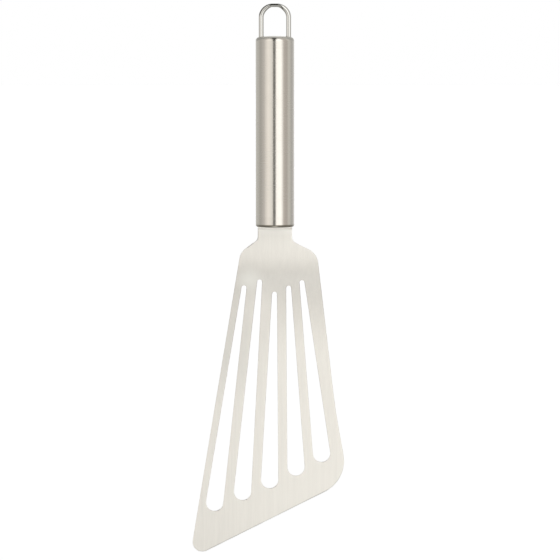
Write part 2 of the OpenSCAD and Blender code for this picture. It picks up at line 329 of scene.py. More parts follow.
def finish_steel(tree, shader, colour, roughness, height, strength, depth):
    """Feeds the shader with a colour and a roughness, and bumps its surface by depth times height."""
    bump = {"Height": height, "Strength": strength, "Distance": depth}
    tree.links.new(colour, shader.inputs["Base Color"])
    tree.links.new(roughness, shader.inputs["Roughness"])
    tree.links.new(wire_up(tree, "ShaderNodeBump", bump).outputs[0], shader.inputs["Normal"])


def brushed_round_group():
    """Fine rings round the Z axis. Their pattern goes by the way along the turned profile, which is
    the radius plus the height times Side, and drifts slowly round the axis."""
    group = bpy.data.node_groups.new("brushed_round", "ShaderNodeTree")
    for name in ("Side", "Fineness"):
        group.interface.new_socket(name, in_out="INPUT", socket_type="NodeSocketFloat")
    for name in ("Streak", "Height", "Smudge"):
        group.interface.new_socket(name, in_out="OUTPUT", socket_type="NodeSocketFloat")
    given = wire_up(group, "NodeGroupInput").outputs
    place = wire_up(group, "ShaderNodeTexCoord").outputs["Object"]
    axes = wire_up(group, "ShaderNodeSeparateXYZ", {0: place}).outputs
    along = sum_up(group, "MULTIPLY_ADD", axes["Z"], given["Side"], off_axis(group, axes))
    drift_x = sum_up(group, "MULTIPLY", axes["X"], RING_DRIFT)
    drift_y = sum_up(group, "MULTIPLY", axes["Y"], RING_DRIFT)

    def rings(per_metre, detail):
        fine = sum_up(group, "MULTIPLY", along, sum_up(group, "MULTIPLY", given["Fineness"], per_metre))
        spot = wire_up(group, "ShaderNodeCombineXYZ", {0: drift_x, 1: drift_y, 2: fine}).outputs[0]
        noise = wire_up(group, "ShaderNodeTexNoise", {"Vector": spot, "Scale": 1.0, "Detail": detail})
        return noise.outputs["Fac"]

    coarse = rings(*COARSE_RINGS)
    fine = rings(*FINE_RINGS)
    streak = sum_up(group, "MULTIPLY", fine, FINE_SHARE)
    streak = sum_up(group, "MULTIPLY_ADD", coarse, COARSE_SHARE, streak)
    smudge = wire_up(group, "ShaderNodeTexNoise", {"Vector": place, "Scale": SMUDGES, "Detail": 3.0})
    wire_up(group, "NodeGroupOutput", {"Streak": streak, "Height": fine, "Smudge": smudge.outputs["Fac"]})
    return group


def brushed_material(name, tint, side, roughness, fineness=1.0, painted_rim_reflection=None):
    """Brushed steel with a streaky colour, an uneven roughness and shallow grooves. The grooves run round
    the piece, so a highlight is drawn out along the axis and stays crisp across it. The last argument, if
    given, holds a height, a radius and a painted dark colour, a painted reflection of the dark ground,
    that takes the place of the steel below the one and outside the other."""
    material, tree, shader = new_steel(name)
    brushing = wire_up(tree, "ShaderNodeGroup", node_tree=bpy.data.node_groups["brushed_round"])
    brushing.inputs["Side"].default_value = side
    brushing.inputs["Fineness"].default_value = fineness
    streak = smooth_step(tree, brushing.outputs["Streak"], *RING_CONTRAST)
    colour = blend_colour(tree, streak, scaled(tint, DARK_RING), scaled(tint, LIGHT_RING))
    # Below the given height and outside the given radius the colour is painted dark, a painted reflection
    # of the ground.
    if painted_rim_reflection:
        rim_height, rim_radius, rim_reflection_colour = painted_rim_reflection
        place = wire_up(tree, "ShaderNodeTexCoord").outputs["Object"]
        axes = wire_up(tree, "ShaderNodeSeparateXYZ", {0: place}).outputs
        outside = smooth_step(tree, off_axis(tree, axes), rim_radius - RIM_FADE_OUTWARD, rim_radius)
        below = smooth_step(tree, axes["Z"], rim_height, rim_height - RIM_FADE_DOWN)
        colour = blend_colour(tree, sum_up(tree, "MULTIPLY", outside, below), colour, rim_reflection_colour)
    uneven = sum_up(tree, "MULTIPLY_ADD", brushing.outputs["Smudge"], SMUDGE_ROUGHNESS,
                    roughness - SMUDGE_ROUGHNESS / 2.0)
    uneven = sum_up(tree, "MULTIPLY_ADD", streak, RING_ROUGHNESS, uneven)
    finish_steel(tree, shader, colour, uneven, brushing.outputs["Height"], GROOVE_STRENGTH, GROOVE_DEPTH)
    round_axis = wire_up(tree, "ShaderNodeTangent", direction_type="RADIAL", axis="Z")
    tree.links.new(round_axis.outputs[0], shader.inputs["Tangent"])
    shader.inputs["Anisotropic"].default_value = GROOVE_STRETCH
    shader.inputs["Anisotropic Rotation"].default_value = GROOVE_TURN
    return material


def fit_piece(piece, node, material):
    """Gives the piece its finish and lets it stand for its CAD node."""
    piece.data.materials.append(material)
    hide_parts(node)
    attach(piece, "root")


brushed_round_group()
tube_low, tube_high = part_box("handle_tube")
tube_r = tube_high.x
tube = turned("handle_tube_brushed",
              ring_profile(tube_r - TUBE_WALL, tube_r, tube_low.z, tube_high.z, TUBE_EDGE))
fit_piece(tube, "handle_tube",
          brushed_material("tube_steel", BRUSHED_STEEL, 1.0, BRUSHED_ROUGHNESS))


# Seam welds. The tube is welded to each cap all round. The bead is ground flush outside and brushed
# over with the tube, and its root stands a little proud in the bore.
SEAM_ROOT = 0.0003
SEAM_EDGE = 0.00001
SEAM_STEEL = (0.575, 0.555, 0.52)
SEAM_ROUGHNESS, SEAM_FINENESS = 0.24, 1.3

seam_steel = brushed_material("seam_steel", SEAM_STEEL, 1.0, SEAM_ROUGHNESS, SEAM_FINENESS)
seam_bore = tube_r - TUBE_WALL - SEAM_ROOT
for node in ("rear_seam_weld", "front_seam_weld"):
    seam_low, seam_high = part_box(node)
    seam = turned(node + "_ground", ring_profile(seam_bore, tube_r, seam_low.z, seam_high.z, SEAM_EDGE))
    fit_piece(seam, node, seam_steel)


# Caps. Each is drawn from stainless sheet to a shallow dome with a rounded rim and a short skirt. The
# rear one is bored for the legs of the loop, the front one is slotted for the neck of the blade. The foot
# of the front cap's rim is painted dark: a painted reflection of the dark ground below it.
CAP_STEEL = (0.575, 0.555, 0.52)
# Height, radius and colour of the painted dark reflection on the foot of the front cap's rim.
FRONT_RIM_PAINTED_REFLECTION = (-0.1117, 0.0084, (0.27, 0.255, 0.22))

for node, side, painted_rim_reflection in (("rear_cap", -1.0, None), ("front_cap", 1.0, FRONT_RIM_PAINTED_REFLECTION)):
    cap_steel = brushed_material(node + "_steel", CAP_STEEL, side, BRUSHED_ROUGHNESS, painted_rim_reflection=painted_rim_reflection)
    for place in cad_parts[node].material_slots:
        place.material = cap_steel


# Hanging loop. One length of polished stainless wire, bent to a bow and pressed a little flatter at
# its short straight crown. Its two legs pass through the holes of the rear cap and are welded to it
# from inside.
LOOP_WIRE_R = 0.0013
LOOP_BEND_R = 0.0059
LOOP_TOP_HALF = 0.0012
LOOP_LEG_X = LOOP_TOP_HALF + LOOP_BEND_R
LOOP_LEG_END = -0.0182
LOOP_CHAMFER = 0.00015
LOOP_PRESSED, LOOP_PRESS_POWER = 0.00075, 8
LOOP_STEPS, LOOP_BEND_STEPS = 48, 40
LOOP_STEEL = (0.57, 0.57, 0.555)
DARK_LINE, LIGHT_LINE = 0.94, 1.04
LINES_AROUND, LINES_ALONG = 9.0, 60.0
LINE_STRENGTH, LINE_DEPTH = 0.10, 0.00002
WIRE_ROUGHNESS, DULL_ROUGHNESS, DULL_SPOTS = 0.03, 0.08, 320.0
# The dark streak on the loop is a painted reflection, laid into the wire's colour.
STREAK_PAINTED_REFLECTION = (0.17, 0.17, 0.16)
STREAK_STARTS, STREAK_TURNS, STREAK_ENDS = 0.0156, 0.0256, 0.0283
STREAK_FADES_IN, STREAK_FADES_OUT = 0.002, 0.001
STREAK_SIDE, STREAK_SLOPE = 0.78, -420.0
STREAK_BREADTH = (0.50, 0.22)


def bent_wire(name):
    """Rings of points along the middle line of the wire. Each ring stands square to the line: its
    points lie the wire's radius away, by the cosine of the angle in the plane of the loop and by the
    sine across it. Over the bends the inner side moves outward by LOOP_PRESSED times a power of the
    sine of the bend's angle. The attribute wire_place holds that cosine and sine and the way along."""
    bend = np.linspace(math.pi, math.pi / 2.0, LOOP_BEND_STEPS)
    bend_z = LOOP_WIRE_R - LOOP_BEND_R
    leg_z = np.array([LOOP_LEG_END, LOOP_LEG_END + LOOP_CHAMFER, (LOOP_LEG_END + bend_z) / 2.0])
    half = np.vstack([
        np.stack([np.full(3, -LOOP_LEG_X), leg_z], axis=1),
        LOOP_BEND_R * np.stack([np.cos(bend), np.sin(bend)], axis=1) + (-LOOP_TOP_HALF, bend_z),
    ])
    line = np.vstack([half, half[::-1] * (-1.0, 1.0)])
    heading = np.concatenate([np.full(3, math.pi / 2.0), bend - math.pi / 2.0])
    heading = np.concatenate([heading, -heading[::-1]])[:, None]
    pressed = LOOP_PRESSED / 2.0 * np.concatenate([np.zeros(3), np.sin(bend)**LOOP_PRESS_POWER])
    pressed = np.concatenate([pressed, pressed[::-1]])[:, None]
    thick = np.full((len(line), 1), LOOP_WIRE_R)
    thick[[0, -1]] = LOOP_WIRE_R - LOOP_CHAMFER
    angle = np.linspace(0.0, 2.0 * math.pi, LOOP_STEPS, endpoint=False)[None, :]
    outward = (thick - pressed) * np.cos(angle) + pressed
    x = line[:, :1] - outward * np.sin(heading)
    z = line[:, 1:] + outward * np.cos(heading)
    y = thick * np.sin(angle)
    first = np.arange(LOOP_STEPS)
    ends = np.stack([first, first[::-1] + (len(line) - 1) * LOOP_STEPS])
    faces = grid_faces(len(line), LOOP_STEPS, False, True)[..., ::-1]
    wire = surface(name, np.stack([x, y, z], axis=-1), faces, ends=ends)
    way = np.append(0.0, np.cumsum(np.linalg.norm(np.diff(line, axis=0), axis=1)))[:, None]
    spots = np.stack(np.broadcast_arrays(np.cos(angle), np.sin(angle), way), axis=-1)
    layer = wire.data.attributes.new("wire_place", "FLOAT_VECTOR", "POINT")
    layer.data.foreach_set("vector", spots.astype(np.float32).ravel())
    return wire


def polished_wire_material():
    """Polished steel with the faint lines that drawing leaves along a wire, and a few dull smudges. The
    dark streak runs along the outer side of the left bend and slants over the crown to the inner
    side. In the photo it is a reflection, and here it is part of the colour."""
    material, tree, shader = new_steel("polished_wire_steel")
    place = wire_up(tree, "ShaderNodeAttribute", attribute_name="wire_place").outputs["Vector"]
    stretch = (LINES_AROUND, LINES_AROUND, LINES_ALONG)
    spot = wire_up(tree, "ShaderNodeMapping", {"Vector": place, "Scale": stretch}).outputs[0]
    lines = wire_up(tree, "ShaderNodeTexNoise", {"Vector": spot, "Scale": 1.0, "Detail": 3.0})
    around = wire_up(tree, "ShaderNodeTexCoord").outputs["Object"]
    dull = wire_up(tree, "ShaderNodeTexNoise", {"Vector": around, "Scale": DULL_SPOTS, "Detail": 2.0})
    colour = blend_colour(tree, lines.outputs["Fac"], scaled(LOOP_STEEL, DARK_LINE),
                          scaled(LOOP_STEEL, LIGHT_LINE))
    spots = wire_up(tree, "ShaderNodeSeparateXYZ", {0: place}).outputs
    past = sum_up(tree, "MAXIMUM", sum_up(tree, "SUBTRACT", spots["Z"], STREAK_TURNS), 0.0)
    side = sum_up(tree, "MULTIPLY_ADD", past, STREAK_SLOPE, STREAK_SIDE)
    off_side = sum_up(tree, "ABSOLUTE", sum_up(tree, "SUBTRACT", spots["X"], side))
    streak = smooth_step(tree, off_side, *STREAK_BREADTH)
    for none, full in ((STREAK_STARTS - STREAK_FADES_IN, STREAK_STARTS),
                       (STREAK_ENDS + STREAK_FADES_OUT, STREAK_ENDS)):
        streak = sum_up(tree, "MULTIPLY", streak, smooth_step(tree, spots["Z"], none, full))
    # Painted reflection: the dark streak.
    colour = blend_colour(tree, streak, colour, STREAK_PAINTED_REFLECTION)
    uneven = sum_up(tree, "MULTIPLY_ADD", dull.outputs["Fac"], DULL_ROUGHNESS, WIRE_ROUGHNESS)
    finish_steel(tree, shader, colour, uneven, lines.outputs["Fac"], LINE_STRENGTH, LINE_DEPTH)
    return material


fit_piece(bent_wire("hanging_loop_polished"), "hanging_loop", polished_wire_material())


# Loop welds. Inside the rear cap a small bead of weld metal runs round each leg and sits against the
# underside of the crown. It is left as welded, rippled and a little straw coloured.
REAR_CROWN = -0.0142
CAP_WALL = 0.0008
CROWN_DOME_R = 0.080
REAR_RIM_R = 0.0022
LEG_BEAD_R = 0.0019
LEG_BEAD_LOW = -0.0162
LEG_BEAD_RIPPLES, RIPPLE_DEPTH = 7.0, 0.14
LEG_BEAD_ARC = 8
WELD_STEEL = (0.92, 0.90, 0.86)
WELD_STRAW = (0.86, 0.80, 0.68)
HEAT_SPOTS, HEAT_FROM, HEAT_FULL = 260.0, 0.50, 0.75
SKIN_SPOTS, SKIN_STRENGTH, SKIN_DEPTH = 2600.0, 0.25, 0.00004
WELD_ROUGHNESS, SKIN_ROUGHNESS = 0.22, 0.20


def with_mirror_image(points, faces, ends, axis):
    """The piece and its image across one axis. The image's faces are turned round to face outward."""
    flip = np.ones(3)
    flip[axis] = -1.0
    count = len(points)
    return (np.vstack([points, points * flip]), np.vstack([faces, faces[:, ::-1] + count]),
            None if ends is None else np.vstack([ends, ends[:, ::-1] + count]))


def under_rear_crown(radius):
    """Height of the crown's underside at a radius: the dome, then the inside of the rounded rim."""
    inner_dome = CROWN_DOME_R - CAP_WALL
    rim_x = tube_r - REAR_RIM_R
    dome_foot = REAR_CROWN - CROWN_DOME_R
    rim_z = dome_foot + math.sqrt((CROWN_DOME_R - REAR_RIM_R)**2 - rim_x**2)
    dome = dome_foot + np.sqrt(inner_dome**2 - radius**2)
    rim = rim_z + np.sqrt(np.maximum((REAR_RIM_R - CAP_WALL)**2 - (radius - rim_x)**2, 0.0))
    return np.where(radius < rim_x * inner_dome / (CROWN_DOME_R - REAR_RIM_R), dome, rim)


def leg_beads(name):
    """A cove of weld metal turned round each leg. Its width shrinks from the crown down to the leg by
    a quarter circle, and ripples with the angle."""
    angle = np.linspace(0.0, 2.0 * math.pi, ROUND_STEPS, endpoint=False)[:, None]
    fall = np.linspace(0.0, math.pi / 2.0, LEG_BEAD_ARC)[None, :]
    ripple = np.abs(np.sin(LEG_BEAD_RIPPLES * angle))
    width = (LEG_BEAD_R - LOOP_WIRE_R) * (1.0 - RIPPLE_DEPTH + RIPPLE_DEPTH * ripple)
    radius = LOOP_WIRE_R + width * np.cos(fall)
    radius = np.hstack([radius, np.full((ROUND_STEPS, 1), LOOP_WIRE_R)])
    x = LOOP_LEG_X + radius * np.cos(angle)
    y = radius * np.sin(angle)
    top = under_rear_crown(np.hypot(x, y))
    share = np.append(np.sin(fall), 0.0)
    z = top + (LEG_BEAD_LOW - top) * share
    faces = grid_faces(ROUND_STEPS, share.size, True, True).reshape(-1, 4)
    points = np.stack([x, y, z], axis=-1).reshape(-1, 3)
    points, faces, _ = with_mirror_image(points, faces, None, 0)
    return surface(name, points, faces)


def weld_material():
    """Bare weld metal. A heat tint comes and goes over it, and its skin is uneven."""
    material, tree, shader = new_steel("weld_metal_steel")
    place = wire_up(tree, "ShaderNodeTexCoord").outputs["Object"]
    tint = wire_up(tree, "ShaderNodeTexNoise", {"Vector": place, "Scale": HEAT_SPOTS, "Detail": 2.0})
    skin = wire_up(tree, "ShaderNodeTexNoise", {"Vector": place, "Scale": SKIN_SPOTS, "Detail": 3.0})
    straw = smooth_step(tree, tint.outputs["Fac"], HEAT_FROM, HEAT_FULL)
    colour = blend_colour(tree, straw, WELD_STEEL, WELD_STRAW)
    uneven = sum_up(tree, "MULTIPLY_ADD", skin.outputs["Fac"], SKIN_ROUGHNESS, WELD_ROUGHNESS)
    finish_steel(tree, shader, colour, uneven, skin.outputs["Fac"], SKIN_STRENGTH, SKIN_DEPTH)
    return material


weld_steel = weld_material()
fit_piece(leg_beads("loop_welds_rippled"), "loop_welds", weld_steel)


# Blade. Spring steel sheet, blanked with its five slots, bent back below the neck and swept forward
# to a shallow belly, then satin finished along its length with its edges deburred. It passes through
# the slot of the front cap, where a narrower tang reaches on into the tube.
SHEET = 0.001
DEBURR, DEBURR_STEPS, DEBURRED_FROM = 0.0003, 3, math.radians(60.0)
FRONT_CROWN = -0.1137
TANG_TOP = -0.1017
TANG_X = 0.006
NECK_TOP = -0.1117
NECK_X = 0.0089
NECK_LENGTH = 0.00605
RIGHT_DROP = 0.00065
BLADE_LENGTH = 0.17319
LEFT_SLOPE, RIGHT_SLOPE = 36.0, 27.0
LEFT_OUT, RIGHT_OUT = 0.0179, 0.0219
LEFT_FLARE, RIGHT_FLARE, HIP_FLARE = 9.4, 6.7, 10.1
HIP_DROP = 0.0814
FRONT_RISE = 26.5
ROOT_R, LEFT_R, RIGHT_R = 0.003, 0.008, 0.009
HIP_R, HEEL_R, TIP_R = 0.300, 0.018, 0.0051
CORNER_STEP, HIP_STEP = 4.0, 0.25
SLOT_TOP_R, SLOT_FOOT_R = 0.001275, 0.004475
SLOT_START = 0.0268
SLOT_DROPS = (0.0032, 0.0, 0.0065, 0.0033, 0.0004)
LEFT_RIB, RIGHT_RIB_TOP, RIGHT_RIB_FOOT = 0.0036, 0.0083, 0.0067
SLOT_CROWDING = 0.0004
FRONT_BAND_LEFT, FRONT_BAND_RIGHT = 0.0162, 0.0142
SLOT_BOW = 0.0012
RAMP_ANGLE, SWEEP_END = 20.0, 5.0
BEND_START = 0.0073
BEND_R, SWEEP_R, BELLY_R = 0.052, 0.150, 0.750
RAMP_LENGTH = 0.003


def toward(point, distance, degrees):
    """The point that lies distance away from another, in a direction in degrees from +X."""
    turn = math.radians(degrees)
    return np.array(point) + distance * np.array([math.cos(turn), math.sin(turn)])


def crossing(p, a, q, b):
    """Where the line through p in direction a crosses the line through q in direction b."""
    a, b = math.radians(a), math.radians(b)
    reach = ((q[0] - p[0]) * math.sin(b) - (q[1] - p[1]) * math.cos(b)) / math.sin(b - a)
    return np.array(p) + reach * np.array([math.cos(a), math.sin(a)])


def rounded(before, corner, after, radius, step_degrees=CORNER_STEP):
    """The arc that rounds a corner. Its centre lies on the corner's bisector, radius over the sine of
    half the corner's angle away, and it runs from one side to the other as seen from there."""
    before, corner, after = np.array(before), np.array(corner), np.array(after)
    u = (before - corner) / np.linalg.norm(before - corner)
    w = (after - corner) / np.linalg.norm(after - corner)
    half = math.acos(float(u @ w)) / 2.0
    middle = (u + w) / np.linalg.norm(u + w)
    across = (w - u) / np.linalg.norm(w - u)
    span = math.pi / 2.0 - half
    turn = np.linspace(-span, span, int(math.degrees(2.0 * span) / step_degrees) + 4)[:, None]
    centre = corner + middle * radius / math.sin(half)
    return centre + radius * (np.sin(turn) * across - np.cos(turn) * middle)


# The sharp corners of the outline, seen from the front
left_root = np.array([-NECK_X, FRONT_CROWN - NECK_LENGTH])
right_root = np.array([NECK_X, left_root[1] - RIGHT_DROP])
left_corner = crossing(left_root, 180.0 + LEFT_SLOPE, (-LEFT_OUT, 0.0), 90.0)
right_corner = crossing(right_root, -RIGHT_SLOPE, (RIGHT_OUT, 0.0), 90.0)
tip = crossing(left_corner, 270.0 - LEFT_FLARE, (0.0, FRONT_CROWN - BLADE_LENGTH), 0.0)
hip = crossing(right_corner, 270.0 + RIGHT_FLARE, (0.0, right_corner[1] - HIP_DROP), 0.0)
heel = crossing(tip, FRONT_RISE, hip, 270.0 + HIP_FLARE)

# The centres of the round ends of the slots
last_slot = len(SLOT_DROPS) - 1
top_z = [FRONT_CROWN - SLOT_START - drop - SLOT_TOP_R for drop in SLOT_DROPS]
left_down, right_down, hip_down = 270.0 - LEFT_FLARE, 270.0 + RIGHT_FLARE, 270.0 + HIP_FLARE
left_ways = [toward(left_corner, LEFT_RIB + r, -LEFT_FLARE) for r in (SLOT_TOP_R, SLOT_FOOT_R)]
first_top = crossing(left_ways[0], left_down, (0.0, top_z[0]), 0.0)
last_top = crossing(toward(right_corner, RIGHT_RIB_TOP + SLOT_TOP_R, 180.0 + RIGHT_FLARE), right_down,
                    (0.0, top_z[-1]), 0.0)


def foot_line(i):
    """A point of the line that holds the centre of a slot's foot, parallel to the front edge."""
    band = FRONT_BAND_LEFT + (FRONT_BAND_RIGHT - FRONT_BAND_LEFT) * i / last_slot
    band -= 4.0 * SLOT_BOW * i * (last_slot - i) / last_slot**2
    return toward(tip, band + SLOT_FOOT_R, 90.0 + FRONT_RISE)


def spread(a, b, i):
    """Evenly from a to b, with each next step a little shorter than the one before it."""
    return a + (b - a) * i / last_slot + SLOT_CROWDING * i * (last_slot - i) / 2.0


first_foot = crossing(left_ways[1], left_down, foot_line(0), FRONT_RISE)
last_foot = crossing(toward(hip, RIGHT_RIB_FOOT + SLOT_FOOT_R, 180.0 + HIP_FLARE), hip_down,
                     foot_line(last_slot), FRONT_RISE)
tops = np.array([(spread(first_top[0], last_top[0], i), top_z[i]) for i in range(last_slot + 1)])
feet = np.array([crossing((spread(first_foot[0], last_foot[0], i), 0.0), 90.0, foot_line(i), FRONT_RISE)
                 for i in range(last_slot + 1)])


def side_of_sheet(z):
    """How far back the middle of the sheet lies at height z: straight down the neck, round the
    backward bend, down a short ramp, round the forward bend, and down the long arc of the belly."""
    bend_top = (0.0, FRONT_CROWN - BEND_START)
    bend_centre = (BEND_R, bend_top[1])
    ramp_top = toward(bend_centre, BEND_R, 180.0 + RAMP_ANGLE)
    ramp_end = toward(ramp_top, RAMP_LENGTH, 270.0 + RAMP_ANGLE)
    sweep_centre = toward(ramp_end, SWEEP_R, 180.0 + RAMP_ANGLE)
    belly_top = toward(sweep_centre, SWEEP_R, SWEEP_END)
    belly_centre = toward(belly_top, BELLY_R, 180.0 + SWEEP_END)

    def circle(centre, radius, sign):
        return centre[0] + sign * np.sqrt(np.maximum(radius**2 - (z - centre[1])**2, 0.0))

    ramp = ramp_top[0] + (ramp_top[1] - z) * math.tan(math.radians(RAMP_ANGLE))
    return np.select(
        [z > bend_top[1], z > ramp_top[1], z > ramp_end[1], z > belly_top[1]],
        [np.zeros_like(z), circle(bend_centre, BEND_R, -1.0), ramp, circle(sweep_centre, SWEEP_R, 1.0)],
        circle(belly_centre, BELLY_R, 1.0))


# The blade's own grid. Each row is a straight line across the blade. The rows lie level down to the
# slots, then fan out until they run parallel to the front edge, which is the last of them. A row is
# given by its height on the axis and its slope.
FAN_TOP, FAN_FOOT = -0.150, -0.236
ROW_STEP, BEND_ROW_STEP, FOOT_ROW_STEP = 0.0016, 0.0006, 0.0005
SLOT_TURN_STEP, EDGE_TURN_STEP = 15.0, 7.5
CLOSEST_ROWS = 0.00003
PLACE_DIGITS = 8
RIB_CELLS = (7, 5, 5, 5, 5, 7)

front_slope = math.tan(math.radians(FRONT_RISE))
front_stretch = math.hypot(1.0, front_slope)
front_row = tip[1] - tip[0] * front_slope
slot_turns = 1.0 - np.cos(np.radians(np.arange(SLOT_TURN_STEP, 91.0, SLOT_TURN_STEP)))
edge_turns = 1.0 - np.cos(np.radians(np.arange(0.0, 76.0, EDGE_TURN_STEP)))
foot_rows = feet[:, 1] - feet[:, 0] * front_slope
slot_ends = np.concatenate([tops[:, 1] + SLOT_TOP_R, foot_rows - SLOT_FOOT_R * front_stretch])
heights = np.concatenate([
    np.arange(TANG_TOP, left_root[1] + ROOT_R, -ROW_STEP),
    (NECK_TOP,),
    np.arange(left_root[1] + ROOT_R, FAN_TOP - ROW_STEP, -BEND_ROW_STEP),
    np.arange(FAN_TOP, foot_rows.max(), -ROW_STEP),
    np.arange(foot_rows.max(), foot_rows.min() - 2.0 * SLOT_FOOT_R, -FOOT_ROW_STEP),
    np.arange(foot_rows.min() - 2.0 * SLOT_FOOT_R, front_row, -ROW_STEP),
    (tops[:, 1:] + SLOT_TOP_R * (1.0 - slot_turns)).ravel(),
    (foot_rows[:, None] - SLOT_FOOT_R * front_stretch * (1.0 - slot_turns)).ravel(),
    front_row + HEEL_R * front_stretch * edge_turns,
    front_row + TIP_R * front_stretch * edge_turns,
])
clear = np.abs(heights[:, None] - slot_ends).min(axis=1) > CLOSEST_ROWS
heights = np.append(heights[clear & (heights >= front_row)], slot_ends)
heights = np.sort(heights)[::-1]
apart = np.append(True, -np.diff(heights) > CLOSEST_ROWS)
heights = heights[apart]
heights[-1] = front_row
slopes = front_slope * np.clip((FAN_TOP - heights) / (FAN_TOP - FAN_FOOT), 0.0, 1.0)


def row_ends(outline):
    """Where each row meets one side of the outline, which is a line of points from top to bottom: the
    first step of the side that takes it below the row, cut where the two cross."""
    above = outline[None, :, 1] - outline[None, :, 0] * slopes[:, None] - heights[:, None]
    step = np.clip(np.argmax(above < 0.0, axis=1), 1, len(outline) - 1)
    step[~(above < 0.0).any(axis=1)] = len(outline) - 1
    row = np.arange(len(heights))
    high, low = above[row, step - 1], above[row, step]
    share = np.clip(high / np.maximum(high - low, 1e-12), 0.0, 1.0)
    return outline[step - 1, 0] + share * (outline[step, 0] - outline[step - 1, 0])


def slot_sides(top, foot):
    """Where each row enters and leaves one slot. A row cuts an end circle in a chord round the point
    nearest to the circle's centre, and it cuts the straight sides where it crosses them. Where a row
    misses the slot, both are the point nearest to the closer end."""
    stretch = 1.0 + slopes**2

    def chord(centre, radius):
        gap = centre[1] - heights - centre[0] * slopes
        middle = centre[0] + slopes * gap / stretch
        half = np.sqrt(np.maximum(radius**2 - gap**2 / stretch, 0.0) / stretch)
        return middle, half, gap**2 <= radius**2 * stretch

    top_middle, top_half, in_top = chord(top, SLOT_TOP_R)
    foot_middle, foot_half, in_foot = chord(foot, SLOT_FOOT_R)
    way = math.degrees(math.atan2(foot[1] - top[1], foot[0] - top[0]))
    lean = 90.0 + math.degrees(math.asin((SLOT_FOOT_R - SLOT_TOP_R) / np.linalg.norm(foot - top)))
    sides = []
    for turn in (-lean, lean):
        a = toward(top, SLOT_TOP_R, way + turn)
        b = toward(foot, SLOT_FOOT_R, way + turn)
        fall = b - a
        share = (heights + slopes * a[0] - a[1]) / (fall[1] - slopes * fall[0])
        on_side = (share >= 0.0) & (share <= 1.0)
        sides.append((a[0] + share * fall[0], on_side))
    above_middle = heights + slopes * (top[0] + foot[0]) / 2.0 > (top[1] + foot[1]) / 2.0
    missed = np.where(above_middle, top_middle, foot_middle)
    none = np.full(len(heights), np.inf)
    left = np.minimum.reduce([np.where(in_top, top_middle - top_half, none),
                              np.where(in_foot, foot_middle - foot_half, none),
                              np.where(sides[0][1], sides[0][0], none)])
    right = np.maximum.reduce([np.where(in_top, top_middle + top_half, -none),
                               np.where(in_foot, foot_middle + foot_half, -none),
                               np.where(sides[1][1], sides[1][0], -none)])
    return np.where(np.isfinite(left), left, missed), np.where(np.isfinite(right), right, missed)


def blade_mid_sheet():
    """The middle of the sheet as one mesh. Each rib is a grid between the slot on its left and the
    slot on its right, and above and below the slots the ribs join edge to edge."""
    left_side = np.vstack([
        [(-TANG_X, TANG_TOP), (-TANG_X, NECK_TOP + ROW_STEP), (-NECK_X, NECK_TOP)],
        rounded((-NECK_X, NECK_TOP), left_root, left_corner, ROOT_R),
        rounded(left_root, left_corner, tip, LEFT_R),
        rounded(left_corner, tip, heel, TIP_R),
    ])
    right_side = np.vstack([
        [(TANG_X, TANG_TOP), (TANG_X, NECK_TOP + ROW_STEP), (NECK_X, NECK_TOP)],
        rounded((NECK_X, NECK_TOP), right_root, right_corner, ROOT_R),
        rounded(right_root, right_corner, hip, RIGHT_R),
        rounded(right_corner, hip, heel, HIP_R, HIP_STEP),
        rounded(hip, heel, tip, HEEL_R),
    ])
    left, right = row_ends(left_side), row_ends(right_side)
    sides = np.array([slot_sides(top, foot) for top, foot in zip(tops, feet)])
    land_row = int(np.argmax(heights < tops[:, 1].max() + 2.0 * SLOT_TOP_R))
    lowest_foot = foot_rows.min() - SLOT_FOOT_R * front_stretch
    foot_row = int(np.argmax(heights < lowest_foot + 1e-9))
    for row, beyond in ((land_row, slice(0, land_row)), (foot_row, slice(foot_row + 1, None))):
        share = (sides[:, :, row] - left[row]) / (right[row] - left[row])
        sides[:, :, beyond] = left[beyond] + share[:, :, None] * (right - left)[beyond]
    borders = [left] + [side for slot in sides for side in slot] + [right]
    places, faces, first = [], [], 0
    for cells, start, end in zip(RIB_CELLS, borders[0::2], borders[1::2]):
        share = np.linspace(0.0, 1.0, cells + 1)
        x = start[:, None] + (end - start)[:, None] * share
        places.append(np.stack([x, heights[:, None] + x * slopes[:, None]], axis=-1).reshape(-1, 2))
        faces.append(grid_faces(len(heights), cells + 1).reshape(-1, 4) + first)
        first += x.size
    places = np.round(np.vstack(places), PLACE_DIGITS)
    places, number = np.unique(places, axis=0, return_inverse=True)
    faces = number.ravel()[np.vstack(faces)]
    points = np.stack([places[:, 0], side_of_sheet(places[:, 1]), places[:, 1]], axis=-1)
    return surface("blade_satin", points, faces)


blade = blade_mid_sheet()
thickness = blade.modifiers.new("sheet", "SOLIDIFY")
thickness.thickness = SHEET
thickness.offset = 0.0
thickness.use_even_offset = True
deburred = blade.modifiers.new("deburred", "BEVEL")
deburred.limit_method = "ANGLE"
deburred.angle_limit = DEBURRED_FROM
deburred.width = DEBURR
deburred.segments = DEBURR_STEPS
deburred.use_clamp_overlap = False
deburred.harden_normals = True

# The blade's finish. Each soft patch of painted light is given by its middle in X and Z, its reach, its
# share of the colour at the middle, and the colour. The first patch is a painted shade, the other two are
# painted highlights.
SATIN_STEEL = (0.873, 0.856, 0.818)
DARK_GRAIN, LIGHT_GRAIN = 0.965, 1.02
FINE_GRAIN_SHARE, GRAIN_CONTRAST = 0.5, (0.3, 0.7)
FINE_GRAIN, WIDE_GRAIN, CLOUDS = (4000.0, 60.0, 3.0), (700.0, 14.0, 2.0), (45.0, 45.0, 2.0)
SATIN_ROUGHNESS, CLOUD_ROUGHNESS = 0.42, 0.08
GRAIN_STRENGTH, GRAIN_DEPTH = 0.15, 0.00002
# The colour is darker towards the left by this share, fading out between these two X values.
LEFT_DARKENING, LEFT_DARKENING_WAY = 0.93, (-0.046, 0.020)
